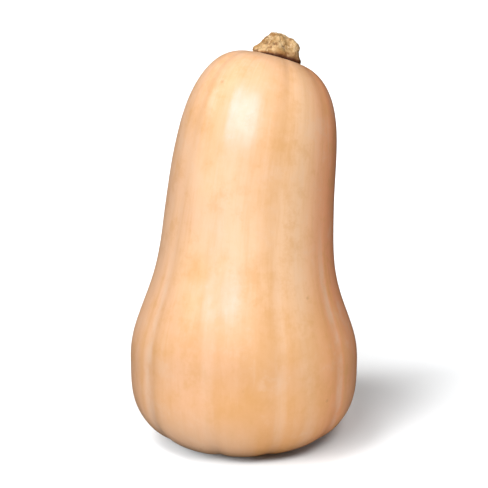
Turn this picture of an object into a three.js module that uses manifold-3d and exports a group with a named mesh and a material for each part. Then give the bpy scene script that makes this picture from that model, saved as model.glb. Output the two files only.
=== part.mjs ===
// A butternut squash that stands on its blossom end: one fruit and the corky stub of its stem.
// Millimetres, +Z up. The origin is the middle of the small flat spot that the fruit stands on.
// The fruit is a round profile swept up a growth axis that leans further over as it rises, with
// ten shallow ribs and a few soft swellings, and its bulb is fuller on the front. The camera side
// is -Y, and the neck leans to +X and +Y.
import * as THREE from "three";
import { mergeVertices } from "three/addons/utils/BufferGeometryUtils.js";
import Module from "manifold-3d";

const { clamp, degToRad, lerp, smoothstep } = THREE.MathUtils;

// Driving dimensions of the fruit.
const FRUIT_LENGTH = 207.5; // along the growth axis, from the standing surface to the crown
const BULB_RADIUS = 60;
const BULB_HEIGHT = 45; // of the widest place
const SWELL_LENGTH = 33; // how far above the widest place the bulb runs out into the neck
const SWELL_POWER = 2.2;
const FRONT_DIRECTION = degToRad(-100); // of the side where the bulb stays full to a greater height
const FRONT_POWER = 4; // how narrow that side is
const FRONT_RISE = 11; // how much higher the bulb starts to narrow there
const FRONT_STRETCH = 6; // how much longer it takes there
const SHOULDER_HEIGHT = 142; // where the neck starts to round over
const SHOULDER_RADIUS = 42.7;
const NECK_TAPER = 0.066; // the neck's radius grows by this much for each millimetre down
const BASE_ROUNDING = [3.2, 2.2]; // powers of the curve under the bulb
const CROWN_ROUNDING = [3.4, 2.3]; // powers of the curve over the shoulder
const BASE_CUT = 2; // the round end would reach this far below the surface, and is flat instead
const CROWN_DIP = 5.8; // the crown is sunk by this much round the stem
const CROWN_DIP_RADIUS = 22.4;

// The growth axis: it stands upright in the bulb and leans over towards the crown.
const LEAN = 22.3; // sideways travel at the crown
const LEAN_POWER = 3.4;
const LEAN_DIRECTION = degToRad(40); // from +X towards +Y

// Ribs and swellings of the rind.
const RIBS = 10;
const GROOVE_DIRECTION = degToRad(-72); // of one groove: a rib faces the camera
const GROOVE_WIDTH = 0.5; // as a share of a rib
const GROOVE_DEPTH = { base: 0.75, bulb: 0.6, neck: 0.2, crown: 0.45 };
const DEEP_DIRECTION = degToRad(-150); // the grooves are deepest on this side
const DEEP_EXTRA = 0.5; // and by this share deeper than halfway round
const SWELLINGS = [
  { waves: 2, bulge: 0.4, length: 45, start: 0.9 },
  { waves: 3, bulge: 0.35, length: 30, start: 2.1 },
];

// Blossom scar: a flush button inside a narrow ring, in the middle of the flat spot.
const SCAR_RING_RADIUS = 4.7;
const SCAR_RING_WIDTH = 1.2;
const SCAR_RING_DEPTH = 0.9;

// Stem stub, in its own frame: it stands on the crown along the growth axis there.
const STEM_RADIUS = 12.1; // at its flared foot
const STEM_HEIGHT = 14; // before its top is broken off
const STEM_TAPER = 0.55; // the share of the radius that is gone at the top
const STEM_END_POWER = 8; // how squarely the top closes
const STEM_FLARE_HEIGHT = 1.6; // the foot is widest here, and tucks in below it
const STEM_TUCK = 0.16; // the share of the radius that the foot tucks in by
const STEM_ROOT = 3; // how far it starts below the crown, before it is cut to the rind
const STEM_SHIFT = new THREE.Vector3(2.1, 0.3, 0); // off the middle of the crown
const STEM_BREAK = { height: 12.4, fall: 0.14, softness: 0.5 }; // the broken face falls towards +X
const STEM_RIDGES = 5;
const STEM_RIDGE_SHARE = 0.05;
const STEM_RIDGE_PHASE = 1.1;
const STEM_LUMPS = [
  { waves: 2, climbs: 1.3, share: 0.05, phase: 0.4 },
  { waves: 3, climbs: 2.6, share: 0.045, phase: 2.2 },
  { waves: 7, climbs: 4.4, share: 0.03, phase: 5.1 },
];
const SEAT_GAP = 0.3; // clear space between the stem and the rind

// How finely the surfaces are cut into flat faces.
const FRUIT_COLUMNS = 81; // a multiple of three, for the flat middle of the underside
const FRUIT_ROWS = 42;
const SCAR_ROWS = [0.28, 0.37, 0.43, 0.49, 0.57, 0.78]; // extra rows below the first one
const STEM_COLUMNS = 36;
const STEM_ROWS = 15;

const UP = new THREE.Vector3(0, 0, 1);
const LEAN_WAY = new THREE.Vector3(Math.cos(LEAN_DIRECTION), Math.sin(LEAN_DIRECTION), 0);
const ACROSS_LEAN = new THREE.Vector3().crossVectors(UP, LEAN_WAY);

// 1 up to where a rounding starts, and down to 0 at its pole.
function roundedShare(way, [inner, outer]) {
  return (1 - clamp(way, 0, 1) ** inner) ** (1 / outer);
}

function neckRadius(height) {
  return SHOULDER_RADIUS + NECK_TAPER * (SHOULDER_HEIGHT - height);
}

// The share of the bulb's extra radius that is left at a height above its widest place.
function bulbShare(above, length) {
  return Math.exp(-((Math.max(above, 0) / length) ** SWELL_POWER));
}

// How much further out the front of the bulb is than the round profile.
function frontFullness(around, height) {
  const facing = (0.5 + 0.5 * Math.cos(around - FRONT_DIRECTION)) ** FRONT_POWER;
  const above = height - BULB_HEIGHT;
  const plain = bulbShare(above, SWELL_LENGTH);
  const fuller = bulbShare(above - FRONT_RISE * facing, SWELL_LENGTH + FRONT_STRETCH * facing);
  return (BULB_RADIUS - neckRadius(height)) * (fuller - plain);
}

// The round radius at a height along the growth axis, before ribs and swellings.
function plainRadius(height) {
  const neck = neckRadius(height);
  const side = neck + (BULB_RADIUS - neck) * bulbShare(height - BULB_HEIGHT, SWELL_LENGTH);
  const down = (BULB_HEIGHT - height) / (BULB_HEIGHT + BASE_CUT);
  const over = (height - SHOULDER_HEIGHT) / (FRUIT_LENGTH - SHOULDER_HEIGHT);
  return side * roundedShare(down, BASE_ROUNDING) * roundedShare(over, CROWN_ROUNDING);
}

// A height that moves slowly at both ends of its range, where the surface closes at a pole.
function easedHeight(along, lowest, highest) {
  return lowest + ((highest - lowest) * (1 - Math.cos(Math.PI * along))) / 2;
}

// The profile at a share of the way from the lower pole to the crown: x is radius, y is height.
function profileAt(along) {
  const height = easedHeight(along, -BASE_CUT, FRUIT_LENGTH);
  const radius = plainRadius(height);
  const dip = along > 0.5 ? CROWN_DIP * Math.exp(-((radius / CROWN_DIP_RADIUS) ** 2)) : 0;
  return new THREE.Vector2(radius, height - dip);
}

function profileNormal(along) {
  const step = 1e-3;
  const below = profileAt(Math.max(along - step, 0));
  const above = profileAt(Math.min(along + step, 1));
  const way = above.sub(below).normalize();
  return new THREE.Vector2(way.y, -way.x);
}

// A point on the growth axis, and the way the axis runs there.
function axisAt(height) {
  const share = Math.max(height, 0) / FRUIT_LENGTH;
  const place = LEAN_WAY.clone().multiplyScalar(LEAN * share ** LEAN_POWER);
  place.z = height;
  const slope = ((LEAN * LEAN_POWER) / FRUIT_LENGTH) * share ** (LEAN_POWER - 1);
  const way = LEAN_WAY.clone().multiplyScalar(slope).add(UP).normalize();
  return { place, way };
}

// How deep the grooves between the ribs are, at a height and on a side.
function grooveDepth(around, height) {
  const { base, bulb, neck, crown } = GROOVE_DEPTH;
  const low = lerp(base, bulb, smoothstep(height, 0, BULB_HEIGHT));
  const middle = lerp(low, neck, smoothstep(height, BULB_HEIGHT, SHOULDER_HEIGHT));
  const depth = lerp(middle, crown, smoothstep(height, SHOULDER_HEIGHT, FRUIT_LENGTH));
  return depth * (1 + DEEP_EXTRA * Math.cos(around - DEEP_DIRECTION));
}

// Ribs and swellings of the rind, in millimetres outwards. They fade out at both poles.
function relief(around, radius, height) {
  const crossing = Math.sin((RIBS / 2) * (around - GROOVE_DIRECTION)) / GROOVE_WIDTH;
  const groove = grooveDepth(around, height) * Math.exp(-(crossing ** 2));
  const swelling = SWELLINGS.reduce(
    (sum, { waves, bulge, length, start }) =>
      sum + bulge * Math.sin(waves * around) * Math.cos(height / length + start),
    0,
  );
  return (swelling - groove) * smoothstep(radius, SCAR_RING_RADIUS * 2, BULB_RADIUS / 2);
}

function scarDepth(radius, height) {
  if (height > 0) return 0;
  return SCAR_RING_DEPTH * Math.exp(-(((radius - SCAR_RING_RADIUS) / (SCAR_RING_WIDTH / 2)) ** 2));
}

// A point on the rind. Nothing reaches below the surface that the fruit stands on.
function rindPoint(around, along) {
  const plain = profileAt(along);
  const point = plain.clone();
  point.addScaledVector(profileNormal(along), relief(around, plain.x, plain.y));
  point.x += frontFullness(around, plain.y);
  const { place, way } = axisAt(point.y);
  const tilted = new THREE.Vector3().crossVectors(ACROSS_LEAN, way);
  const turn = around - LEAN_DIRECTION;
  place.addScaledVector(tilted, point.x * Math.cos(turn));
  place.addScaledVector(ACROSS_LEAN, point.x * Math.sin(turn));
  place.z = Math.max(place.z, 0) + scarDepth(plain.x, plain.y);
  return place;
}

// A height that runs smoothly into the sloping face where the stem broke.
function brokenHeight(x, height) {
  const { height: middle, fall, softness } = STEM_BREAK;
  const over = height - (middle - fall * x);
  return height - softness * Math.log1p(Math.exp(over / softness));
}

// A point on the stem before it is cut to the rind, in the stem's own frame.
function stemPoint(around, along) {
  const height = easedHeight(along, -STEM_ROOT, STEM_HEIGHT);
  const climb = clamp((height - STEM_FLARE_HEIGHT) / (STEM_HEIGHT - STEM_FLARE_HEIGHT), 0, 1);
  const under = clamp((STEM_FLARE_HEIGHT - height) / (STEM_FLARE_HEIGHT + STEM_ROOT), 0, 1);
  const cone = (1 - STEM_TAPER * climb) * Math.sqrt(1 - climb ** STEM_END_POWER);
  const foot = (1 - STEM_TUCK * under) * Math.sqrt(1 - under ** STEM_END_POWER);
  const ridges = 1 + STEM_RIDGE_SHARE * Math.cos(STEM_RIDGES * around + STEM_RIDGE_PHASE);
  const lumps = STEM_LUMPS.reduce(
    (sum, { waves, climbs, share, phase }) =>
      sum + share * Math.sin(waves * around + phase) * Math.cos(climbs * climb * Math.PI + phase),
    1,
  );
  const radius = STEM_RADIUS * cone * foot * ridges * lumps;
  const [x, y] = [radius * Math.cos(around), radius * Math.sin(around)];
  return new THREE.Vector3(x, y, brokenHeight(x, height));
}

// Faces that fill the first ring, seen from below: one triangle in its middle, and a fan of
// triangles in each of the three pieces that are left beside it.
function flatMiddle(columns) {
  const third = columns / 3;
  const faces = [0, 2 * third, third];
  for (let start = 0; start < columns; start += third) {
    for (let step = 1; step < third; step += 1) {
      faces.push(start, (start + step + 1) % columns, start + step);
    }
  }
  return faces;
}

// Faces between the first ring and a lower pole.
function poleFan(columns, pole) {
  const faces = [];
  for (let column = 0; column < columns; column += 1) {
    faces.push(pole, (column + 1) % columns, column);
  }
  return faces;
}

// A closed surface with a ring of points at each share of the way along and a pole at the upper
// end. The lower end is a pole too, unless the middle of the first ring is filled flat.
function ringedSurface(columns, ringAlongs, pointAt, { flatStart = false } = {}) {
  const points = [];
  for (const along of ringAlongs) {
    for (let column = 0; column < columns; column += 1) {
      points.push(pointAt((2 * Math.PI * column) / columns, along));
    }
  }
  const lastRing = ringAlongs.length - 1;
  const upperPole = points.push(pointAt(0, 1)) - 1;
  const at = (ring, column) => ring * columns + (column % columns);
  const faces = flatStart
    ? flatMiddle(columns)
    : poleFan(columns, points.push(pointAt(0, 0)) - 1);
  for (let column = 0; column < columns; column += 1) {
    for (let ring = 0; ring < lastRing; ring += 1) {
      faces.push(at(ring, column), at(ring, column + 1), at(ring + 1, column + 1));
      faces.push(at(ring, column), at(ring + 1, column + 1), at(ring + 1, column));
    }
    faces.push(upperPole, at(lastRing, column), at(lastRing, column + 1));
  }
  return new THREE.BufferGeometry().setFromPoints(points).setIndex(faces);
}

function evenRows(rows) {
  return Array.from({ length: rows - 1 }, (_, i) => (i + 1) / rows);
}

// A copy of a surface, moved out along its own normals.
function grown(geometry, distance) {
  const bigger = geometry.clone();
  bigger.computeVertexNormals();
  const { position, normal } = bigger.attributes;
  const point = new THREE.Vector3();
  const out = new THREE.Vector3();
  for (let i = 0; i < position.count; i += 1) {
    point.fromBufferAttribute(position, i);
    out.fromBufferAttribute(normal, i);
    position.setXYZ(i, ...point.addScaledVector(out, distance));
  }
  return bigger;
}

const wasm = await Module();
wasm.setup();

function solidFrom(geometry) {
  const bare = new THREE.BufferGeometry();
  bare.setAttribute("position", geometry.attributes.position);
  bare.setIndex(geometry.index);
  const merged = mergeVertices(bare);
  const vertProperties = Float32Array.from(merged.attributes.position.array);
  const triVerts = Uint32Array.from(merged.index.array);
  return new wasm.Manifold(new wasm.Mesh({ numProp: 3, vertProperties, triVerts }));
}

function geometryFrom(solid) {
  const { vertProperties, triVerts } = solid.getMesh();
  const geometry = new THREE.BufferGeometry();
  geometry.setAttribute("position", new THREE.BufferAttribute(vertProperties, 3));
  geometry.setIndex(new THREE.BufferAttribute(triVerts, 1));
  return geometry;
}

function makeFruit() {
  const rind = new THREE.MeshStandardMaterial({ color: 0xf2c491, roughness: 0.42, metalness: 0 });
  const fruitRows = [...SCAR_ROWS.map((row) => row / FRUIT_ROWS), ...evenRows(FRUIT_ROWS)];
  const geometry = ringedSurface(FRUIT_COLUMNS, fruitRows, rindPoint, { flatStart: true });
  geometry.computeVertexNormals();
  const fruit = new THREE.Mesh(geometry, rind);
  fruit.name = "fruit";
  return fruit;
}

// The stem's foot is cut to the rind under it, with a little clear space between them.
function makeStem(fruit) {
  const cork = new THREE.MeshStandardMaterial({ color: 0xc8a873, roughness: 0.9, metalness: 0 });
  const { place, way } = axisAt(profileAt(1).y);
  const turn = new THREE.Quaternion().setFromUnitVectors(UP, way);
  place.add(STEM_SHIFT.clone().applyQuaternion(turn));
  const seat = new THREE.Matrix4().compose(place, turn, new THREE.Vector3(1, 1, 1));
  const uncut = ringedSurface(STEM_COLUMNS, evenRows(STEM_ROWS), stemPoint).applyMatrix4(seat);
  const cut = solidFrom(uncut).subtract(solidFrom(grown(fruit.geometry, SEAT_GAP)));
  const geometry = geometryFrom(cut).applyMatrix4(seat.clone().invert());
  geometry.computeVertexNormals();
  const stem = new THREE.Mesh(geometry, cork);
  stem.name = "stem";
  stem.position.copy(place);
  stem.quaternion.copy(turn);
  return stem;
}

const squash = new THREE.Group();
const fruit = makeFruit();
squash.add(fruit, makeStem(fruit));

export default squash;
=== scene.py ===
"""A standing butternut squash: its ribbed, waxy rind, its corky stem stub and a plain studio."""

import math

import bpy
from bpy.props import FloatProperty, FloatVectorProperty, IntProperty, PointerProperty
from mathutils import Matrix, Vector, noise
from mathutils.bvhtree import BVHTree


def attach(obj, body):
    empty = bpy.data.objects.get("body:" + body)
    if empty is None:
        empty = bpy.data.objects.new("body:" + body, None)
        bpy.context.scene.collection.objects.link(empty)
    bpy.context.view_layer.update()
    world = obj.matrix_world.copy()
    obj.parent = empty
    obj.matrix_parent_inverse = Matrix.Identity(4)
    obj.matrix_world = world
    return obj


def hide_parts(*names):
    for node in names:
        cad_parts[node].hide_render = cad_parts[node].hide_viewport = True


bl_info = {
    "name": "Butternut squash",
    "version": (1, 0, 0),
    "blender": (4, 5, 0),
    "location": "3D View > Sidebar > Squash",
    "description": "Builds a standing butternut squash with its stem, in a plain studio",
    "category": "Object",
}

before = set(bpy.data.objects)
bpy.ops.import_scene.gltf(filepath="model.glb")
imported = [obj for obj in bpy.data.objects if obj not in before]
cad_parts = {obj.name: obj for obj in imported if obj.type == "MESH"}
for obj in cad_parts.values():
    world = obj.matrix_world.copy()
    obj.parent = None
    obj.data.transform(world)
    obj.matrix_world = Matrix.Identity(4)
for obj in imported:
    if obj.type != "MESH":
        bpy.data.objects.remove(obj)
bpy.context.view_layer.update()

BODY = "root"
RIND_NAME = "squash_rind"
STEM_NAME = "stem_cork"
MM = 0.001


# Settings that a user would change

def length_setting(name, description, default):
    """A length in metres."""
    return FloatProperty(
        name=name, description=description, default=default, unit="LENGTH", precision=5
    )


def angle_setting(name, description, degrees):
    """An angle, given in degrees."""
    return FloatProperty(
        name=name, description=description, default=math.radians(degrees), subtype="ANGLE"
    )


def share_setting(name, description, default):
    """A plain number, such as a share or a power."""
    return FloatProperty(name=name, description=description, default=default, precision=3)


def colour_setting(name, description, default):
    """A colour in linear light."""
    return FloatVectorProperty(
        name=name, description=description, default=default, size=3, subtype="COLOR", min=0, max=1
    )


class RindSizes(bpy.types.PropertyGroup):
    """Sizes of the fruit, the same as its solid's, and of the finer relief on it."""

    columns: IntProperty(name="Columns", description="Faces around", default=280)
    rows: IntProperty(name="Rows", description="Faces from the base to the crown", default=340)
    length: length_setting("Length", "From the standing surface to the crown", 0.2075)
    bulb_radius: length_setting("Bulb radius", "Radius at the widest place", 0.060)
    bulb_height: length_setting("Bulb height", "Height of the widest place", 0.045)
    swell_length: length_setting("Swell length", "How far the bulb runs up into the neck", 0.033)
    swell_power: share_setting("Swell power", "How squarely the bulb runs into the neck", 2.2)
    front_direction: angle_setting("Front direction", "Side where the bulb is fullest", -100)
    front_power: share_setting("Front power", "How narrow that side is", 4)
    front_rise: length_setting("Front rise", "How much higher the bulb starts to narrow there", 0.011)
    front_stretch: length_setting("Front stretch", "How much longer it takes there", 0.006)
    shoulder_height: length_setting("Shoulder height", "Where the neck rounds over", 0.142)
    shoulder_radius: length_setting("Shoulder radius", "Radius of the neck there", 0.0427)
    neck_taper: share_setting("Neck taper", "Growth of the neck's radius per length down", 0.066)
    base_inner: share_setting("Base start power", "How late the base turns under", 3.2)
    base_outer: share_setting("Base end power", "How flat the base closes", 2.2)
    crown_inner: share_setting("Crown start power", "How late the shoulder turns over", 3.4)
    crown_outer: share_setting("Crown end power", "How flat the crown closes", 2.3)
    base_cut: length_setting("Base cut", "How much of the round base is flat instead", 0.002)
    crown_dip: length_setting("Crown dip", "How far the crown sinks round the stem", 0.0058)
    dip_radius: length_setting("Dip radius", "Radius of that sunken place", 0.0224)
    lean: length_setting("Lean", "How far the crown leans to one side", 0.0223)
    lean_power: share_setting("Lean power", "How late the neck starts to lean", 3.4)
    lean_direction: angle_setting("Lean direction", "Side that the neck leans to", 40)
    ribs: IntProperty(name="Ribs", description="Number of ribs", default=10)
    groove_direction: angle_setting("Groove direction", "Side of one groove", -72)
    groove_width: share_setting("Groove width", "As a share of a rib", 0.5)
    groove_base: length_setting("Groove at the base", "Depth of the grooves there", 0.00075)
    groove_bulb: length_setting("Groove on the bulb", "Depth of the grooves there", 0.0006)
    groove_neck: length_setting("Groove on the neck", "Depth of the grooves there", 0.0002)
    groove_crown: length_setting("Groove at the crown", "Depth of the grooves there", 0.00045)
    deep_direction: angle_setting("Deep side", "Side where the grooves are deepest", -150)
    deep_extra: share_setting("Deep side extra", "How much deeper they are there", 0.5)
    oval: length_setting("Oval swelling", "Height of the two-sided swelling", 0.0004)
    oval_length: length_setting("Oval length", "How slowly it turns along the fruit", 0.045)
    oval_start: share_setting("Oval start", "Its state at the base, in radians", 0.9)
    three: length_setting("Three-sided swelling", "Height of the three-sided swelling", 0.00035)
    three_length: length_setting("Three-sided length", "How slowly it turns along", 0.030)
    three_start: share_setting("Three-sided start", "Its state at the base, in radians", 2.1)
    scar_radius: length_setting("Scar radius", "Radius of the ring round the blossom scar", 0.0047)
    scar_width: length_setting("Scar width", "Width of that ring", 0.0012)
    scar_depth: length_setting("Scar depth", "Depth of that ring", 0.0009)
    dents: length_setting("Dents", "Height of the broad, shallow dents", 0.00035)
    dent_scale: share_setting("Dent scale", "Dents per metre", 24)
    veins: length_setting("Veins", "Height of the faint lines along the fruit", 0.00009)
    vein_scale: share_setting("Vein scale", "How close together the lines are", 9)
    seed: share_setting("Seed", "Another number gives other dents and veins", 3.7)


class StemSizes(bpy.types.PropertyGroup):
    """Sizes of the stem stub, the same as its solid's, and of the cork relief on it."""

    columns: IntProperty(name="Columns", description="Faces around", default=240)
    rows: IntProperty(name="Rows", description="Faces from the foot to the top", default=150)
    radius: length_setting("Radius", "Radius of the flared foot", 0.0121)
    height: length_setting("Height", "Height before the top broke off", 0.014)
    taper: share_setting("Taper", "Share of the radius that is gone at the top", 0.55)
    end_power: share_setting("End power", "How squarely the ends close", 8)
    flare_height: length_setting("Flare height", "Height of the widest place", 0.0016)
    tuck: share_setting("Tuck", "Share of the radius that the foot tucks in by", 0.16)
    root: length_setting("Root", "How far it starts below the crown", 0.003)
    shift: FloatVectorProperty(
        name="Shift", description="Place beside the middle of the crown", default=(0.0021, 0.0003, 0),
        size=3, subtype="TRANSLATION",
    )
    break_height: length_setting("Break height", "Height of the broken face", 0.0124)
    break_fall: share_setting("Break fall", "How steeply the broken face falls to +X", 0.14)
    break_softness: length_setting("Break softness", "Rounding of the broken edge", 0.0005)
    ridges: IntProperty(name="Ridges", description="Number of ridges", default=5)
    ridge_share: share_setting("Ridge share", "Height as a share of the radius", 0.07)
    ridge_phase: share_setting("Ridge phase", "Turn of the ridges, in radians", 3.05)
    gap: length_setting("Gap", "Clear space between the stem and the rind", 0.0003)
    # painted shade: height of the dark band where the stem's foot meets the rind
    foot_shade_band: length_setting("Foot band", "Height of the dark band round the foot", 0.0022)
    lump: length_setting("Lumps", "Height of the lumps of cork", 0.00045)
    grain: length_setting("Grain", "Height of the grain of the cork", 0.00018)
    crack: length_setting("Cracks", "Depth of the cracks in the cork", 0.00035)
    seed: IntProperty(name="Seed", description="Another number bends the cracks another way", default=7)


class Colours(bpy.types.PropertyGroup):
    """Colours of the rind and the stem, in linear light."""

    neck: colour_setting("Neck", "Rind on the neck", (0.91, 0.575, 0.335))
    bulb: colour_setting("Bulb", "Rind on the bulb", (0.85, 0.49, 0.25))
    base: colour_setting("Base", "Rind near the blossom end", (0.82, 0.42, 0.185))
    crown: colour_setting("Crown", "Rind near the stem", (0.90, 0.54, 0.31))
    bloom: colour_setting("Bloom", "Pale, pinkish bands in the grooves", (0.89, 0.63, 0.45))
    patch: colour_setting("Patches", "Warm brown mottling of the rind", (0.74, 0.37, 0.12))
    # painted shade: darker, redder rind colour for the shaded +X side
    painted_shade_flank: colour_setting("Flank", "Redder rind on one side", (0.98, 0.36, 0.165))
    blush: colour_setting("Blush", "Pinkish, paler clouds on the rind", (0.90, 0.54, 0.36))
    speck: colour_setting("Specks", "Small brown marks on the rind", (0.42, 0.20, 0.08))
    cork: colour_setting("Cork", "Main colour of the stem", (0.46, 0.27, 0.10))
    cork_light: colour_setting("Light cork", "Lighter parts of the stem", (0.70, 0.475, 0.235))
    # painted shade: grey-brown colour for the stem's shaded +X side
    cork_painted_shade: colour_setting("Grey cork", "Weathered side of the stem", (0.23, 0.14, 0.08))
    cork_pale: colour_setting("Pale cork", "Dry, bleached parts of the stem", (0.82, 0.62, 0.38))
    cork_brown: colour_setting("Brown cork", "Spots on the stem", (0.30, 0.125, 0.03))
    # near-black for the cracks, partly darker cork and partly painted shade, and for the painted shade
    # round the foot
    crack: colour_setting("Crack", "Cracks and the foot of the stem", (0.085, 0.028, 0.008))


class StudioSettings(bpy.types.PropertyGroup):
    """The camera, the floor and the lights."""

    distance: length_setting("Camera distance", "From the camera to what it aims at", 0.7037)
    elevation: angle_setting("Camera elevation", "Angle above level", 15)
    aim_x: length_setting("Aim X", "Place that the camera aims at", 0.00026)
    aim_z: length_setting("Aim Z", "Place that the camera aims at", 0.10704)
    lens: FloatProperty(name="Lens", description="Focal length", default=100, unit="CAMERA")
    floor_size: length_setting("Floor size", "Length of each side of the floor", 12)
    floor_colour: colour_setting("Floor colour", "Matt white paper", (0.885, 0.9, 0.91))
    card_colour: colour_setting("Card colour", "Sheet that lights from below", (0.6, 0.6, 0.6))
    card_size: length_setting("Card size", "Length of each side of that sheet", 0.4)
    card_light_strength: share_setting("Card light", "Strength of the light on that sheet", 2.6)
    highlight_colour: colour_setting("Highlight", "Cool light of the highlights", (0.6, 0.6, 1.0))
    room_colour: colour_setting("Room colour", "White beyond the floor's edge", (1, 1, 1))
    room_strength: share_setting("Room strength", "Brightness of that white", 1.2)


# Building node trees

class Field:
    """A number in a node tree. Arithmetic on it adds Math nodes to the tree."""

    def __init__(self, tree, socket):
        self.tree = tree
        self.socket = socket

    def math(self, operation, *others, clamp=False):
        return math_node(self.tree, operation, self, *others, clamp=clamp)

    def __add__(self, other):
        return self.math("ADD", other)

    def __sub__(self, other):
        return self.math("SUBTRACT", other)

    def __mul__(self, other):
        return self.math("MULTIPLY", other)

    def __truediv__(self, other):
        return self.math("DIVIDE", other)

    def __pow__(self, other):
        return self.math("POWER", other)

    def __neg__(self):
        return self * -1

    def __rsub__(self, other):
        return math_node(self.tree, "SUBTRACT", other, self)

    def __rtruediv__(self, other):
        return math_node(self.tree, "DIVIDE", other, self)

    __radd__ = __add__
    __rmul__ = __mul__

    def sin(self):
        return self.math("SINE")

    def cos(self):
        return self.math("COSINE")

    def exp(self):
        return self.math("EXPONENT")

    def at_least(self, other):
        return self.math("MAXIMUM", other)

    def within_one(self):
        return self.math("ADD", 0.0, clamp=True)

    def smooth_step(self, low, high):
        """0 below low, 1 above high, and a smooth way between them."""
        share = ((self - low) / (high - low)).within_one()
        return share * share * (3 - 2 * share)

    def bump_at(self, centre, width):
        """1 at the centre, and down to 0 a few widths away."""
        off = (self - centre) / width
        return (-(off * off)).exp()

    def blend(self, low, high):
        """low where this is 0 and high where it is 1."""
        return low + (high - low) * self


def plug(tree, socket, value):
    """Sets a socket to a number, or links another socket to it."""
    if isinstance(value, Field):
        tree.links.new(value.socket, socket)
    elif isinstance(value, bpy.types.NodeSocket):
        tree.links.new(value, socket)
    else:
        socket.default_value = value


def math_node(tree, operation, *values, clamp=False):
    node = tree.nodes.new("ShaderNodeMath")
    node.operation = operation
    node.use_clamp = clamp
    for socket, value in zip(node.inputs, values):
        plug(tree, socket, value)
    return Field(tree, node.outputs[0])


def add_node(tree, kind, inputs=None, **settings):
    """A new node with its settings, and with its inputs set or linked by name."""
    node = tree.nodes.new(kind)
    for name, value in settings.items():
        setattr(node, name, value)
    for name, value in (inputs or {}).items():
        plug(tree, node.inputs[name], value)
    return node


def reshaped(tree, geometry, kind, **inputs):
    """The geometry as it leaves a geometry node of a kind."""
    return add_node(tree, "GeometryNode" + kind, {"Geometry": geometry, **inputs}).outputs[0]


def vector_of(tree, x, y, z):
    node = add_node(tree, "ShaderNodeCombineXYZ", {"X": x, "Y": y, "Z": z})
    return node.outputs[0]


def parts_of(tree, vector):
    node = add_node(tree, "ShaderNodeSeparateXYZ", {0: vector})
    return [Field(tree, socket) for socket in node.outputs]


def noise_of(tree, vector, scale, detail=2.0, roughness=0.5, seed=0.0):
    """Smooth noise from about 0 to 1, with its middle at 0.5."""
    node = add_node(
        tree, "ShaderNodeTexNoise",
        {"Vector": vector, "W": seed, "Scale": scale, "Detail": detail, "Roughness": roughness},
        noise_dimensions="4D",
    )
    return Field(tree, node.outputs[0])


def named_inputs(tree, settings_type):
    """Gives a geometry tree one named input for each setting, and returns them as fields."""
    names = {}
    for key in settings_type.__annotations__:
        setting = settings_type.bl_rna.properties[key]
        kind = "NodeSocketInt" if setting.type == "INT" else "NodeSocketFloat"
        tree.interface.new_socket(setting.name, in_out="INPUT", socket_type=kind)
        names[key] = setting.name
    source = tree.nodes.new("NodeGroupInput")
    return {key: Field(tree, source.outputs[name]) for key, name in names.items()}


def set_inputs(modifier, settings):
    """Sets a modifier's inputs from the settings, each by its socket's identifier."""
    names = {settings.bl_rna.properties[key].name: key for key in settings.__annotations__}
    for item in modifier.node_group.interface.items_tree:
        if item.in_out == "INPUT" and item.name in names:
            modifier[item.identifier] = getattr(settings, names[item.name])


# The rind's shape

def rounded_share(way, inner, outer):
    """1 up to where a rounding starts, and down to 0 at its pole."""
    return (1 - way.within_one() ** inner) ** (1 / outer)


def neck_radius(height, size):
    return size["shoulder_radius"] + size["neck_taper"] * (size["shoulder_height"] - height)


def bulb_share(above, length, power):
    """The share of the bulb's extra radius that is left at a height above its widest place."""
    return (-((above.at_least(0) / length) ** power)).exp()


def front_fullness(around, height, size):
    """How much further out the front of the bulb is than the round profile."""
    facing = (0.5 + 0.5 * (around - size["front_direction"]).cos()) ** size["front_power"]
    above = height - size["bulb_height"]
    plain = bulb_share(above, size["swell_length"], size["swell_power"])
    longer = size["swell_length"] + size["front_stretch"] * facing
    fuller = bulb_share(above - size["front_rise"] * facing, longer, size["swell_power"])
    return (size["bulb_radius"] - neck_radius(height, size)) * (fuller - plain)


def plain_radius(height, size):
    """The round radius at a height along the growth axis, before ribs and swellings."""
    neck = neck_radius(height, size)
    above = height - size["bulb_height"]
    left = bulb_share(above, size["swell_length"], size["swell_power"])
    side = neck + (size["bulb_radius"] - neck) * left
    down = (size["bulb_height"] - height) / (size["bulb_height"] + size["base_cut"])
    over = (height - size["shoulder_height"]) / (size["length"] - size["shoulder_height"])
    base = rounded_share(down, size["base_inner"], size["base_outer"])
    crown = rounded_share(over, size["crown_inner"], size["crown_outer"])
    return side * base * crown


def swept_point(tree, around, radius, height, size):
    """The place of a point of the profile, on the leaning growth axis."""
    share = height.at_least(0) / size["length"]
    off = size["lean"] * share ** size["lean_power"]
    slope = size["lean"] * size["lean_power"] / size["length"] * share ** (size["lean_power"] - 1)
    upright = 1 / (1 + slope * slope) ** 0.5
    turn = around - size["lean_direction"]
    forward = off + radius * turn.cos() * upright
    sideways = radius * turn.sin()
    cos_lean, sin_lean = size["lean_direction"].cos(), size["lean_direction"].sin()
    return vector_of(
        tree,
        forward * cos_lean - sideways * sin_lean,
        forward * sin_lean + sideways * cos_lean,
        height - radius * turn.cos() * slope * upright,
    )


def groove_depth(around, height, size):
    """How deep the grooves between the ribs are, at a height and on a side."""
    low = height.smooth_step(0, size["bulb_height"]).blend(size["groove_base"], size["groove_bulb"])
    rise = height.smooth_step(size["bulb_height"], size["shoulder_height"])
    middle = rise.blend(low, size["groove_neck"])
    over = height.smooth_step(size["shoulder_height"], size["length"])
    depth = over.blend(middle, size["groove_crown"])
    return depth * (1 + size["deep_extra"] * (around - size["deep_direction"]).cos())


def groove_profile(around, size):
    """1 in the middle of a groove and 0 on the ribs."""
    crossing = ((around - size["groove_direction"]) * (size["ribs"] / 2)).sin()
    return crossing.bump_at(0, size["groove_width"])


def swelling(around, height, waves, bulge, length, start):
    return bulge * (around * waves).sin() * (height / length + start).cos()


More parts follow.
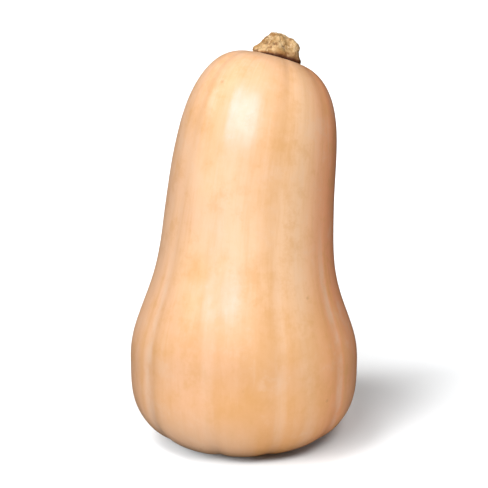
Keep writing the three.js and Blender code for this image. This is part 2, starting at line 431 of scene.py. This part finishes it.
def rind_relief(tree, around, radius, height, size):
    """Ribs, swellings, dents and veins, in metres outwards. They fade out at both poles."""
    groove = groove_depth(around, height, size) * groove_profile(around, size)
    soft = swelling(around, height, 2, size["oval"], size["oval_length"], size["oval_start"])
    soft = soft + swelling(around, height, 3, size["three"], size["three_length"], size["three_start"])
    place = add_node(tree, "GeometryNodeInputPosition").outputs[0]
    dents = noise_of(tree, place, size["dent_scale"], 1.5, seed=size["seed"]) - 0.5
    way = vector_of(tree, around.cos(), around.sin(), height / size["length"])
    veins = noise_of(tree, way, size["vein_scale"], 3, seed=size["seed"]) - 0.5
    fine = dents * size["dents"] * 2 + veins * size["veins"] * 2
    fade_at_poles = radius.smooth_step(size["scar_radius"] * 2, size["bulb_radius"] / 2)
    return (soft - groove + fine) * fade_at_poles


def store(tree, geometry, name, value, kind):
    node = add_node(
        tree, "GeometryNodeStoreNamedAttribute",
        {"Geometry": geometry, "Name": name, "Value": value}, data_type=kind, domain="POINT",
    )
    return node.outputs[0]


def read(tree, name, kind):
    return add_node(tree, "GeometryNodeInputNamedAttribute", {"Name": name}, data_type=kind).outputs[0]


# share of the shoulder's height where the crown may start to sink
DIP_START = 0.6
# points closer than this at the seam and the poles are one point, in metres
SEAM_DISTANCE = 1e-6
# share of the length that counts as the underside
UNDERSIDE = 1e-4


def rind_tree(material):
    """The tree that makes the rind: a grid swept round and up the growth axis, then its relief."""
    tree = bpy.data.node_groups.new("Rind", "GeometryNodeTree")
    size = named_inputs(tree, RindSizes)
    tree.interface.new_socket("Geometry", in_out="OUTPUT", socket_type="NodeSocketGeometry")

    grid = add_node(
        tree, "GeometryNodeMeshGrid",
        {"Size X": 1, "Size Y": 1, "Vertices X": size["columns"] + 1, "Vertices Y": size["rows"] + 1},
    )
    x, y, _ = parts_of(tree, add_node(tree, "GeometryNodeInputPosition").outputs[0])
    around = (x + 0.5) * math.tau
    rise = (1 - ((y + 0.5) * math.pi).cos()) / 2
    height = rise * (size["length"] + size["base_cut"]) - size["base_cut"]
    radius = plain_radius(height, size)
    crown_side = height.smooth_step(size["shoulder_height"] * DIP_START, size["shoulder_height"])
    dip = size["crown_dip"] * radius.bump_at(0, size["dip_radius"]) * crown_side
    sunk = height - dip
    growth = vector_of(tree, around.cos(), around.sin(), sunk / size["length"])
    geometry = store(tree, grid.outputs["Mesh"], "growth", growth, "FLOAT_VECTOR")
    geometry = store(tree, geometry, "plain_radius", radius, "FLOAT")
    place = swept_point(tree, around, radius + front_fullness(around, sunk, size), sunk, size)
    geometry = reshaped(tree, geometry, "SetPosition", Position=place)
    geometry = reshaped(tree, geometry, "MergeByDistance", Distance=SEAM_DISTANCE)

    cosine, sine, up = parts_of(tree, read(tree, "growth", "FLOAT_VECTOR"))
    around = sine.math("ARCTAN2", cosine)
    radius = Field(tree, read(tree, "plain_radius", "FLOAT"))
    relief = rind_relief(tree, around, radius, up * size["length"], size)
    normal = add_node(tree, "GeometryNodeInputNormal").outputs[0]
    offset = add_node(tree, "ShaderNodeVectorMath", {0: normal}, operation="SCALE")
    plug(tree, offset.inputs["Scale"], relief)
    geometry = reshaped(tree, geometry, "SetPosition", Offset=offset.outputs[0])

    x, y, z = parts_of(tree, add_node(tree, "GeometryNodeInputPosition").outputs[0])
    ring = radius.bump_at(size["scar_radius"], size["scar_width"] / 2)
    below = 1 - up.smooth_step(0, UNDERSIDE)
    flat = vector_of(tree, x, y, z.at_least(0) + ring * below * size["scar_depth"])
    geometry = reshaped(tree, geometry, "SetPosition", Position=flat)
    geometry = store(tree, geometry, "groove", groove_profile(around, size), "FLOAT")
    geometry = reshaped(tree, geometry, "SetShadeSmooth")
    geometry = reshaped(tree, geometry, "RealizeInstances")
    geometry = reshaped(tree, geometry, "SetMaterial", Material=material)
    end = tree.nodes.new("NodeGroupOutput")
    tree.links.new(geometry, end.inputs["Geometry"])
    return tree


def plain_mesh_object(name, tree, settings):
    """Runs a geometry tree once and keeps its result as a plain mesh at the origin."""
    maker = bpy.data.objects.new(name + "_maker", bpy.data.meshes.new(name + "_maker"))
    bpy.context.scene.collection.objects.link(maker)
    modifier = maker.modifiers.new("Shape", "NODES")
    modifier.node_group = tree
    set_inputs(modifier, settings)
    graph = bpy.context.evaluated_depsgraph_get()
    mesh = bpy.data.meshes.new_from_object(maker.evaluated_get(graph))
    maker.modifiers.clear()
    bpy.data.objects.remove(maker)
    mesh.name = name
    made = bpy.data.objects.new(name, mesh)
    bpy.context.scene.collection.objects.link(made)
    if not len(mesh.polygons):
        raise RuntimeError(name + " came out empty")
    return made


# The stem's shape

def axis_at(height, size):
    """A point on the growth axis, and the way the axis runs there."""
    share = max(height, 0) / size.length
    side = Vector((math.cos(size.lean_direction), math.sin(size.lean_direction), 0))
    place = side * size.lean * share ** size.lean_power + Vector((0, 0, height))
    slope = size.lean * size.lean_power / size.length * share ** (size.lean_power - 1)
    return place, (side * slope + Vector((0, 0, 1))).normalized()


STEM_LUMPS = (
    # waves round the stem, half waves up it, height as a share of the radius, turn in radians
    (2, 1.3, 0.05, 0.4),
    (3, 2.6, 0.045, 2.2),
    (7, 4.4, 0.03, 5.1),
)
STEM_KNOBS = (
    # side in degrees, share of the way up, width in degrees, width up the stem, height as a share
    (-68, 0.85, 17, 0.38, -0.17),
    (-112, 0.55, 24, 0.25, 0.07),
    (-40, 0.62, 20, 0.30, 0.10),
    (-88, 0.18, 14, 0.14, 0.06),
    (15, 0.55, 18, 0.30, -0.10),
    (70, 0.40, 22, 0.25, 0.08),
    (120, 0.70, 18, 0.40, -0.12),
    (172, 0.50, 30, 0.38, 0.13),
)


def broken_height(x, height, size):
    """A height that runs smoothly into the sloping face where the stem broke."""
    over = height - (size.break_height - size.break_fall * x)
    return height - size.break_softness * math.log1p(math.exp(over / size.break_softness))


def knob(around, climb, side, up, width, width_up, height):
    """A knob, or a hollow where its height is negative, as a share of the radius."""
    off = math.remainder(around - math.radians(side), math.tau) / math.radians(width)
    return height * math.exp(-(off ** 2) - ((climb - up) / width_up) ** 2)


def stem_point(around, along, size):
    """A point on the plain stem, in its own frame."""
    height = (size.height + size.root) * (1 - math.cos(math.pi * along)) / 2 - size.root
    climb = min(max((height - size.flare_height) / (size.height - size.flare_height), 0), 1)
    under = min(max((size.flare_height - height) / (size.flare_height + size.root), 0), 1)
    cone = (1 - size.taper * climb) * math.sqrt(1 - climb ** size.end_power)
    foot = (1 - size.tuck * under) * math.sqrt(1 - under ** size.end_power)
    radius = size.radius * cone * foot
    radius *= 1 + size.ridge_share * math.cos(size.ridges * around + size.ridge_phase)
    radius *= 1 + sum(
        share * math.sin(waves * around + turn) * math.cos(climbs * climb * math.pi + turn)
        for waves, climbs, share, turn in STEM_LUMPS
    )
    radius *= 1 + sum(knob(around, climb, *values) for values in STEM_KNOBS)
    x, y = radius * math.cos(around), radius * math.sin(around)
    return Vector((x, y, broken_height(x, height, size)))


def ringed_mesh(name, columns, rows, point_at):
    """A closed mesh with a pole at each end, and its faces pointing out."""
    points = [point_at(0, 0)]
    for row in range(1, rows):
        points += [point_at(math.tau * column / columns, row / rows) for column in range(columns)]
    points.append(point_at(0, 1))
    last = len(points) - 1

    def at(row, column):
        return 1 + (row - 1) * columns + column % columns

    faces = []
    for column in range(columns):
        faces.append((0, at(1, column + 1), at(1, column)))
        for row in range(1, rows - 1):
            low_edge = (at(row, column), at(row, column + 1))
            high_edge = (at(row + 1, column + 1), at(row + 1, column))
            faces.append(low_edge + high_edge)
        faces.append((last, at(rows - 1, column), at(rows - 1, column + 1)))
    mesh = bpy.data.meshes.new(name)
    mesh.from_pydata(points, [], faces)
    mesh.update()
    return mesh


LUMP_SIZE = 5 * MM
GRAIN_SIZE = 1.4 * MM
GRAIN_START = Vector((7, 3, 1))
# how fast the layers of noise fade, how much finer each one is, and how many there are
LUMP_LAYERS = (0.8, 2.2, 3)
GRAIN_LAYERS = (0.7, 2.1, 4)
CRACK_SPACING = 4.6 * MM
CRACK_BEND = 0.45
CRACK_BEND_SIZE = 2.5 * MM
CRACK_LENGTHENING = 0.6
CRACK_WIDTH = 0.11
CRACKED_AREA_SIZE = 3.5 * MM
CRACKED_AREA_START = Vector((2, 5, 8))
CRACKED_SHARE = 0.5
CRACKED_CONTRAST = 1.6


def cork_relief(point, size):
    """How far a point of the cork stands out, and how deep it lies in a crack from 0 to 1."""
    lumps = noise.fractal(point / LUMP_SIZE, *LUMP_LAYERS)
    grain = noise.fractal(point / GRAIN_SIZE + GRAIN_START, *GRAIN_LAYERS)
    bent = point / CRACK_SPACING + noise.noise_vector(point / CRACK_BEND_SIZE) * CRACK_BEND
    nearest = noise.voronoi(Vector((bent.x, bent.y, bent.z * CRACK_LENGTHENING)))[0]
    crack = math.exp(-(((nearest[1] - nearest[0]) / CRACK_WIDTH) ** 2))
    area = noise.noise(point / CRACKED_AREA_SIZE + CRACKED_AREA_START)
    crack *= min(max(CRACKED_SHARE + CRACKED_CONTRAST * area, 0), 1)
    return size.lump * lumps + size.grain * grain - size.crack * crack, crack


def add_point_attribute(mesh, name, values):
    stored = mesh.attributes.new(name, "FLOAT", "POINT")
    stored.data.foreach_set("value", values)


# how much taller the painted shade band round the foot is on the shaded +X side, and lower on the other
FOOT_SHADE_LOPSIDEDNESS = 0.75


def make_stem_mesh(size, rind_size, rind):
    """The stem on the crown: its plain form, the cork relief, its foot fitted to the rind, and the
    heights above the rind that set the painted shade round its foot.
    """
    noise.seed_set(size.seed)
    mesh = ringed_mesh(
        STEM_NAME, size.columns, size.rows, lambda around, along: stem_point(around, along, size)
    )
    cracks = []
    normals = [vertex.normal.copy() for vertex in mesh.vertices]
    for vertex, normal in zip(mesh.vertices, normals):
        out, crack = cork_relief(vertex.co, size)
        vertex.co += normal * out
        cracks.append(crack)
    place, way = axis_at(rind_size.length - rind_size.crown_dip, rind_size)
    turn = Vector((0, 0, 1)).rotation_difference(way)
    place = place + turn @ Vector(size.shift)
    seat = Matrix.Translation(place) @ turn.to_matrix().to_4x4()
    mesh.transform(seat)

    skin = BVHTree.FromPolygons(
        [vertex.co for vertex in rind.data.vertices], [face.vertices for face in rind.data.polygons]
    )
    well_above = size.height * 4
    foot_shade_heights = []
    for vertex in mesh.vertices:
        hit = skin.ray_cast(vertex.co + way * well_above, -way)[0]
        depth = (vertex.co - hit).dot(way) if hit else well_above
        if depth < size.gap:
            vertex.co += way * (size.gap - depth)
        side = min(max((vertex.co.x - place.x) / size.radius, -1), 1)
        # heights above the rind, made taller on the shaded +X side; they set the painted shade round
        # the foot
        foot_shade_heights.append(max(depth, 0) / (1 + FOOT_SHADE_LOPSIDEDNESS * side))
    add_point_attribute(mesh, "crack", cracks)
    add_point_attribute(mesh, "foot", [foot / size.foot_shade_band for foot in foot_shade_heights])
    mesh.polygons.foreach_set("use_smooth", [True] * len(mesh.polygons))
    mesh.update()
    return mesh


# Materials

def mixed(tree, share, low, high):
    """low where the share is 0 and high where it is 1, as colours."""
    node = add_node(tree, "ShaderNodeMix", {0: share}, data_type="RGBA", clamp_factor=True)
    for socket, colour in ((node.inputs[6], low), (node.inputs[7], high)):
        if isinstance(colour, bpy.types.NodeSocket):
            tree.links.new(colour, socket)
        else:
            socket.default_value = (*colour, 1)
    return node.outputs[2]


def attribute(tree, name):
    return add_node(tree, "ShaderNodeAttribute", attribute_name=name)


def new_material(name):
    """An empty material with one Principled shader."""
    material = bpy.data.materials.new(name)
    material.use_nodes = True
    tree = material.node_tree
    shader = tree.nodes["Principled BSDF"]
    shader.inputs["Metallic"].default_value = 0
    return material, tree, shader


def bumped(tree, shader, height, distance, strength=1.0):
    bump = add_node(
        tree, "ShaderNodeBump", {"Height": height, "Distance": distance, "Strength": strength}
    )
    tree.links.new(bump.outputs[0], shader.inputs["Normal"])


RIND_ROUGHNESS = 0.44
RIND_GLOSS = 0.35
WAX_WEIGHT = 0.36
WAX_ROUGHNESS = 0.2
WAX_IOR = 1.45
RIND_BUMP = 0.2 * MM
SPECKS_PER_METRE = 95
SPECK_SHARE = 0.4
# share of the painted shade on the rind's +X side
PAINTED_SHADE_FLANK_SHARE = 0.8
BLUSH_SIDE_SHARE = 0.4
GROOVE_BAND_SHARE = 0.8
GROOVE_BAND_ON_NECK = 0.15
BESIDE_BAND_SHARE = 0.45
PATCHY_BLOOM_SHARE = 0.25
# share of the pale band low on the front left, partly bloom and partly painted reflection of the floor
LEFT_BLOOM_AND_REFLECTION_SHARE = 0.35
RIND_BANDS = (
    # shares of the length where a colour starts and where it is full, and the colour
    (0.0, 0.34, "bulb"),
    (0.30, 0.50, "neck"),
    (0.86, 0.99, "crown"),
)
RIND_PATTERNS = {
    # drawn out along the fruit or not, scale, detail, roughness, seed
    "broad": (True, 2.6, 3, 0.55, 1.3),
    "streaks": (True, 13, 4, 0.6, 4.1),
    "fine_streaks": (True, 34, 3, 0.6, 3.3),
    "clouds": (False, 22, 4, 0.6, 2.5),
    "mottling": (False, 75, 5, 0.7, 9.3),
    "flushed": (False, 16, 3, 0.55, 5.9),
}
RIND_TINTS = (
    # pattern, its value where a tint starts and where it is full, share of the tint, its colour
    ("clouds", 0.46, 0.64, 0.36, "patch"),
    ("flushed", 0.50, 0.68, 0.40, "blush"),
    ("broad", 0.50, 0.72, 0.25, "patch"),
    ("broad", 0.50, 0.30, 0.25, "bloom"),
    ("mottling", 0.48, 0.66, 0.36, "patch"),
    ("mottling", 0.48, 0.32, 0.25, "bloom"),
    ("streaks", 0.50, 0.70, 0.17, "patch"),
    ("streaks", 0.48, 0.30, 0.17, "bloom"),
    ("fine_streaks", 0.50, 0.72, 0.12, "patch"),
)


def rind_ground(tree, colours, cosine, up):
    """The rind's colour by height, with painted shade on the +X side, which is darker and redder, and
    pinker on the other.
    """
    colour = colours.base
    for start, full, name in RIND_BANDS:
        colour = mixed(tree, up.smooth_step(start, full), colour, getattr(colours, name))
    # the +X side, away from the lights, gets painted shade
    right = cosine.smooth_step(0.5, 0.98)
    left = (-cosine).smooth_step(0.5, 0.95)
    colour = mixed(tree, right * PAINTED_SHADE_FLANK_SHARE, colour, colours.painted_shade_flank)
    return mixed(tree, left * BLUSH_SIDE_SHARE, colour, colours.blush)


def with_groove_bands(tree, colour, colours, groove, growth_parts, place):
    """Adds the pale, frayed bands in the grooves of the bulb, and the warm rind beside them."""
    cosine, sine, up = growth_parts
    side_way = vector_of(tree, cosine * 1.7, sine * 1.7, up * 1.1)
    strength = noise_of(tree, side_way, 1.9, 1, 0.5, seed=6.6).smooth_step(0.40, 0.62)
    frayed = noise_of(tree, place, 60, 4, 0.6, seed=7.1).smooth_step(0.30, 0.60)
    on_bulb = 1 - up.smooth_step(0.40, 0.62)
    weaker_in_front = (1.25 + sine).within_one()
    weaker_behind = 1 - 0.4 * sine.smooth_step(-0.2, 0.5)
    strength = strength * weaker_in_front * weaker_behind
    shown = on_bulb.blend(GROOVE_BAND_ON_NECK, 1)
    band = groove.smooth_step(0.62, 1.0) * strength * frayed * shown
    beside = groove.bump_at(0.40, 0.20) * strength * on_bulb
    colour = mixed(tree, beside * BESIDE_BAND_SHARE, colour, colours.patch)
    return mixed(tree, band * GROOVE_BAND_SHARE, colour, colours.bloom)


def with_base_bloom(tree, colour, colours, growth_parts, long_way):
    """Adds the paler bloom low on the bulb in patches, and on the front left a pale band that is partly
    bloom and partly a painted reflection of the floor.
    """
    cosine, sine, up = growth_parts
    low = 1 - up.smooth_step(0.04, 0.2)
    pale_side = noise_of(tree, long_way, 2.4, 3, 0.55, seed=7.3).smooth_step(0.44, 0.6)
    # pale band low on the front left: partly bloom, partly a painted reflection of the white floor
    bloom_and_reflection_side = (cosine * -0.75 + sine * -0.65).smooth_step(0.45, 0.95)
    pale = pale_side * PATCHY_BLOOM_SHARE + bloom_and_reflection_side * LEFT_BLOOM_AND_REFLECTION_SHARE
    return mixed(tree, low * pale, colour, colours.bloom)


def rind_material(colours):
    """Smooth waxy rind: streaks along the fruit, pale bands in the grooves, mottling and specks."""
    material, tree, shader = new_material("rind")
    growth = attribute(tree, "growth").outputs["Vector"]
    groove = Field(tree, attribute(tree, "groove").outputs["Fac"])
    growth_parts = parts_of(tree, growth)
    cosine, sine, up = growth_parts
    place = add_node(tree, "ShaderNodeTexCoord").outputs["Object"]
    long_way = vector_of(tree, cosine, sine, up * 0.5)
    patterns = {
        name: noise_of(tree, long_way if drawn_out else place, scale, detail, roughness, seed)
        for name, (drawn_out, scale, detail, roughness, seed) in RIND_PATTERNS.items()
    }
    streaks = patterns["streaks"]

    colour = rind_ground(tree, colours, cosine, up)
    for name, start, full, share, tint in RIND_TINTS:
        here = patterns[name].smooth_step(start, full) * share
        colour = mixed(tree, here, colour, getattr(colours, tint))
    colour = with_groove_bands(tree, colour, colours, groove, growth_parts, place)
    colour = with_base_bloom(tree, colour, colours, growth_parts, long_way)

    spots = add_node(
        tree, "ShaderNodeTexVoronoi",
        {"Vector": place, "Scale": SPECKS_PER_METRE, "Randomness": 1.0},
    )
    is_speck = parts_of(tree, spots.outputs["Color"])[0].smooth_step(0.93, 0.97)
    speck = (1 - Field(tree, spots.outputs["Distance"]).smooth_step(0.04, 0.14)) * is_speck
    colour = mixed(tree, speck * SPECK_SHARE, colour, colours.speck)
    tree.links.new(colour, shader.inputs["Base Color"])

    wax = noise_of(tree, place, 120, 3, 0.6, seed=6.2)
    rough = RIND_ROUGHNESS + (wax - 0.5) * 0.12 + (streaks - 0.5) * 0.1 + speck * 0.2
    plug(tree, shader.inputs["Roughness"], rough)
    shader.inputs["Specular IOR Level"].default_value = RIND_GLOSS
    shader.inputs["Coat Weight"].default_value = WAX_WEIGHT
    shader.inputs["Coat Roughness"].default_value = WAX_ROUGHNESS
    shader.inputs["Coat IOR"].default_value = WAX_IOR
    skin = noise_of(tree, place, 520, 3, 0.55, seed=8.8)
    bumped(tree, shader, streaks * 0.6 + wax * 0.3 + skin * 0.1 - speck * 0.4, RIND_BUMP)
    return material


CORK_ROUGHNESS = 0.75
CORK_GLOSS = 0.35
CORK_BUMP = 0.3 * MM
# places along X where the painted shade on the stem's shaded +X side starts and is full
PAINTED_SHADE_FROM = 24.5 * MM
PAINTED_SHADE_FULL = 31 * MM
CORK_PATTERNS = {
    # scale, detail, roughness, seed
    "tone": (190, 3, 0.6, 1.1),
    "bleached": (330, 3, 0.6, 7.7),
    "brown": (260, 4, 0.7, 5.4),
    "grain": (1400, 4, 0.7, 9.9),
}
BLEACHED_SHARE = 0.8
BROWN_SHARE = 0.7
CRACK_TONE_AND_SHADE_SHARE = 0.6
# share of the painted shade on the stem's +X side
PAINTED_SHADE_SHARE = 0.75
# how ragged the painted shade round the foot is, and how much of it is brown at its top edge
FOOT_SHADE_RAGGEDNESS = 0.9
FOOT_SHADE_EDGE_SHARE = 0.55


def cork_material(colours):
    """Dry cork: ochre with bleached and brown patches, dark cracks that are partly painted shade,
    painted shade round the foot, and painted shade on the +X side.
    """
    material, tree, shader = new_material("cork")
    crack = Field(tree, attribute(tree, "crack").outputs["Fac"])
    foot = Field(tree, attribute(tree, "foot").outputs["Fac"])
    place = add_node(tree, "ShaderNodeTexCoord").outputs["Object"]
    patterns = {
        name: noise_of(tree, place, scale, detail, roughness, seed)
        for name, (scale, detail, roughness, seed) in CORK_PATTERNS.items()
    }
    tone, grain = patterns["tone"], patterns["grain"]

    colour = mixed(tree, tone.smooth_step(0.42, 0.60), colours.cork, colours.cork_light)
    bleached = patterns["bleached"].smooth_step(0.56, 0.66)
    colour = mixed(tree, bleached * BLEACHED_SHARE, colour, colours.cork_pale)
    brown = patterns["brown"].smooth_step(0.50, 0.62)
    colour = mixed(tree, brown * BROWN_SHARE, colour, colours.cork_brown)
    # cracks: partly darker cork, partly painted shade in them
    colour = mixed(tree, crack * CRACK_TONE_AND_SHADE_SHARE, colour, colours.crack)
    # painted shade on the stem's +X side, away from the lights
    painted_shade_side = parts_of(tree, place)[0].smooth_step(PAINTED_SHADE_FROM, PAINTED_SHADE_FULL)
    colour = mixed(tree, painted_shade_side * PAINTED_SHADE_SHARE, colour, colours.cork_painted_shade)
    # painted shade round the foot, where the stem meets the rind: brown at its top edge, near-black
    # lower down
    ragged_foot_shade = foot + (tone - 0.5) * FOOT_SHADE_RAGGEDNESS
    foot_shade_edge = 1 - ragged_foot_shade.smooth_step(0.9, 1.7)
    colour = mixed(tree, foot_shade_edge * FOOT_SHADE_EDGE_SHARE, colour, colours.cork_brown)
    colour = mixed(tree, 1 - ragged_foot_shade.smooth_step(0.3, 1.0), colour, colours.crack)
    tree.links.new(colour, shader.inputs["Base Color"])
    plug(tree, shader.inputs["Roughness"], CORK_ROUGHNESS + (grain - 0.5) * 0.3)
    shader.inputs["Specular IOR Level"].default_value = CORK_GLOSS
    bumped(tree, shader, grain + tone * 0.6, CORK_BUMP)
    return material


PAPER_TOOTH = 0.02 * MM


def paper_material(name, colour):
    """Matt paper with a very fine tooth."""
    material, tree, shader = new_material(name + "_paper")
    place = add_node(tree, "ShaderNodeTexCoord").outputs["Object"]
    tooth = noise_of(tree, place, 900, 2)
    shader.inputs["Base Color"].default_value = (*colour, 1)
    shader.inputs["Roughness"].default_value = 1
    shader.inputs["Specular IOR Level"].default_value = 0
    bumped(tree, shader, tooth, PAPER_TOOTH)
    return material


# Studio

SENSOR_WIDTH = 36
LIGHTS_AIM = Vector((0, 0, 0.1))
CARD_HEIGHT = -0.5 * MM
FLOOR_SUNS = (
    # name, azimuth, elevation and width in degrees, strength
    ("floor_front", 10, 42, 14, 1.5),
    ("floor_front_left", -15, 36, 14, 0.98),
    ("floor_side_left", -35, 35, 20, 1.65),
    ("floor_left", -65, 20, 20, 2.5),
    ("floor_high", -50, 62, 20, 1.35),
    ("floor_right", 50, 35, 45, 0.5),
)
SOFTBOX_DISTANCE = 1.6
HIGHLIGHT_BOX = "highlight_softbox"
SOFTBOXES = (
    # name, azimuth and elevation in degrees, width, height, power in watts
    ("front_softbox", 7, 12, 0.6, 0.6, 19.0),
    ("top_softbox", 5, 72, 0.6, 0.6, 12.5),
    ("left_softbox", -65, 38, 0.6, 0.6, 5.8),
    ("far_left_softbox", -90, 36, 0.6, 0.6, 8.8),
    ("key_softbox", -28, 30, 0.6, 0.6, 1.6),
    ("back_right_softbox", 155, 12, 0.8, 0.8, 6),
    ("back_left_softbox", -155, 12, 0.8, 0.8, 13),
    (HIGHLIGHT_BOX, -24, 37, 1.05, 1.0, 40),
)


def aimed(location, target):
    """A turn that makes a camera or a light at a place look at a target."""
    return (target - location).to_track_quat("-Z", "Y")


def from_camera_side(azimuth, elevation):
    """The way to a place. Azimuth 0 is the camera's side and grows to its right, in radians."""
    level = math.cos(elevation)
    return Vector((math.sin(azimuth) * level, -math.cos(azimuth) * level, math.sin(elevation)))


def add_area_light(name, azimuth, elevation, distance, width, height, power):
    """A rectangular soft light that faces the middle of the squash, with its angles in degrees."""
    way = from_camera_side(math.radians(azimuth), math.radians(elevation))
    data = bpy.data.lights.new(name, "AREA")
    data.shape = "RECTANGLE"
    data.size = width
    data.size_y = height
    data.energy = power
    light = bpy.data.objects.new(name, data)
    light.location = LIGHTS_AIM + way * distance
    light.rotation_mode = "QUATERNION"
    light.rotation_quaternion = aimed(light.location, LIGHTS_AIM)
    bpy.context.scene.collection.objects.link(light)
    return light


def flat_sheet(name, half, height, colour):
    """A square matt sheet, centred under the squash."""
    mesh = bpy.data.meshes.new(name)
    corners = ((-half, -half), (half, -half), (half, half), (-half, half))
    mesh.from_pydata([(x, y, height) for x, y in corners], [], [(0, 1, 2, 3)])
    mesh.materials.append(paper_material(name, colour))
    sheet = bpy.data.objects.new(name, mesh)
    bpy.context.scene.collection.objects.link(sheet)
    return sheet


def add_floor(studio):
    """The floor that is seen, and under it an unseen card that lights the squash from below."""
    floor = flat_sheet("floor", studio.floor_size / 2, 0, studio.floor_colour)
    floor.visible_diffuse = False
    floor.visible_glossy = False
    floor.visible_shadow = False
    card = flat_sheet("bounce_card", studio.card_size / 2, CARD_HEIGHT, studio.card_colour)
    card.visible_camera = False
    card.visible_glossy = False
    return floor, card


def only_on(light, name, *receivers):
    """Lets a light reach nothing but the things named."""
    held = bpy.data.collections.new(name)
    for item in receivers:
        held.objects.link(item)
    light.light_linking.receiver_collection = held


def add_sun(name, azimuth, elevation, width, strength):
    """A light from very far away, with its angles in degrees. A wide one gives soft shadows."""
    data = bpy.data.lights.new(name, "SUN")
    data.energy = strength
    data.angle = math.radians(width)
    sun = bpy.data.objects.new(name, data)
    sun.location = from_camera_side(math.radians(azimuth), math.radians(elevation))
    sun.rotation_mode = "QUATERNION"
    sun.rotation_quaternion = aimed(sun.location, Vector((0, 0, 0)))
    bpy.context.scene.collection.objects.link(sun)
    return sun


def light_the_floor(floor, card, studio):
    """Suns for the squash's soft shadow on the floor, and one for the unseen card."""
    for name, azimuth, elevation, width, strength in FLOOR_SUNS:
        only_on(add_sun(name, azimuth, elevation, width, strength), name, floor)
    card_light = add_sun("card_light", 0, 90, 0, studio.card_light_strength)
    only_on(card_light, "card_light", card)


def light_the_squash(studio):
    """Soft lights that reach the squash alone, and one that shows only as highlights on it."""
    squash = [bpy.data.objects[name] for name in (RIND_NAME, STEM_NAME)]
    for name, azimuth, elevation, width, height, power in SOFTBOXES:
        light = add_area_light(name, azimuth, elevation, SOFTBOX_DISTANCE, width, height, power)
        light.visible_diffuse = name != HIGHLIGHT_BOX
        light.visible_glossy = name == HIGHLIGHT_BOX
        light.data.color = studio.highlight_colour if name == HIGHLIGHT_BOX else (1, 1, 1)
        only_on(light, name, *squash)


# Operators

class SQUASH_OT_make_rind(bpy.types.Operator):
    """Make the fruit's rind from its geometry tree, in place of the plain solid"""

    bl_idname = "squash.make_rind"
    bl_label = "Make rind"

    def execute(self, context):
        scene = context.scene
        tree = rind_tree(rind_material(scene.squash_colours))
        rind = plain_mesh_object(RIND_NAME, tree, scene.squash_rind)
        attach(rind, BODY)
        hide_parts("fruit")
        return {"FINISHED"}


class SQUASH_OT_make_stem(bpy.types.Operator):
    """Make the corky stem and seat its foot on the rind, in place of the plain solid"""

    bl_idname = "squash.make_stem"
    bl_label = "Make stem"

    def execute(self, context):
        scene = context.scene
        rind = bpy.data.objects.get(RIND_NAME)
        if rind is None:
            raise RuntimeError("make the rind first, because the stem is seated on it")
        mesh = make_stem_mesh(scene.squash_stem, scene.squash_rind, rind)
        mesh.materials.append(cork_material(scene.squash_colours))
        stem = bpy.data.objects.new(STEM_NAME, mesh)
        scene.collection.objects.link(stem)
        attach(stem, BODY)
        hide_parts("stem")
        return {"FINISHED"}


class SQUASH_OT_make_studio(bpy.types.Operator):
    """Make the white floor, the soft lights and the camera"""

    bl_idname = "squash.make_studio"
    bl_label = "Make studio"

    def execute(self, context):
        scene = context.scene
        studio = scene.squash_studio
        floor, card = add_floor(studio)
        light_the_floor(floor, card, studio)
        light_the_squash(studio)

        world = bpy.data.worlds.new("Room")
        world.use_nodes = True
        background = world.node_tree.nodes["Background"]
        background.inputs["Color"].default_value = (*studio.room_colour, 1)
        background.inputs["Strength"].default_value = studio.room_strength
        world.cycles_visibility.diffuse = False
        world.cycles_visibility.glossy = False
        scene.world = world

        data = bpy.data.cameras.new("camera")
        data.lens = studio.lens
        data.sensor_width = SENSOR_WIDTH
        camera = bpy.data.objects.new("camera", data)
        aim = Vector((studio.aim_x, 0, studio.aim_z))
        camera.location = aim + from_camera_side(0, studio.elevation) * studio.distance
        camera.rotation_mode = "QUATERNION"
        camera.rotation_quaternion = aimed(camera.location, aim)
        scene.collection.objects.link(camera)
        scene.camera = camera
        scene.view_settings.view_transform = "Standard"
        return {"FINISHED"}


class SQUASH_PT_tools(bpy.types.Panel):
    """Lists the steps that make the squash, and its two main colours"""

    bl_idname = "SQUASH_PT_tools"
    bl_label = "Butternut squash"
    bl_space_type = "VIEW_3D"
    bl_region_type = "UI"
    bl_category = "Squash"

    def draw(self, context):
        for operator in OPERATORS:
            self.layout.operator(operator.bl_idname)
        self.layout.prop(context.scene.squash_colours, "neck")
        self.layout.prop(context.scene.squash_colours, "bulb")


SETTINGS = {
    "squash_rind": RindSizes,
    "squash_stem": StemSizes,
    "squash_colours": Colours,
    "squash_studio": StudioSettings,
}
OPERATORS = (SQUASH_OT_make_rind, SQUASH_OT_make_stem, SQUASH_OT_make_studio)
CLASSES = (*SETTINGS.values(), *OPERATORS, SQUASH_PT_tools)


def register():
    for item in CLASSES:
        bpy.utils.register_class(item)
    for name, kind in SETTINGS.items():
        setattr(bpy.types.Scene, name, PointerProperty(type=kind))


def unregister():
    for name in SETTINGS:
        delattr(bpy.types.Scene, name)
    for item in reversed(CLASSES):
        bpy.utils.unregister_class(item)


def main():
    register()
    bpy.ops.squash.make_rind()
    bpy.ops.squash.make_stem()
    bpy.ops.squash.make_studio()


if __name__ == "__main__":
    main()
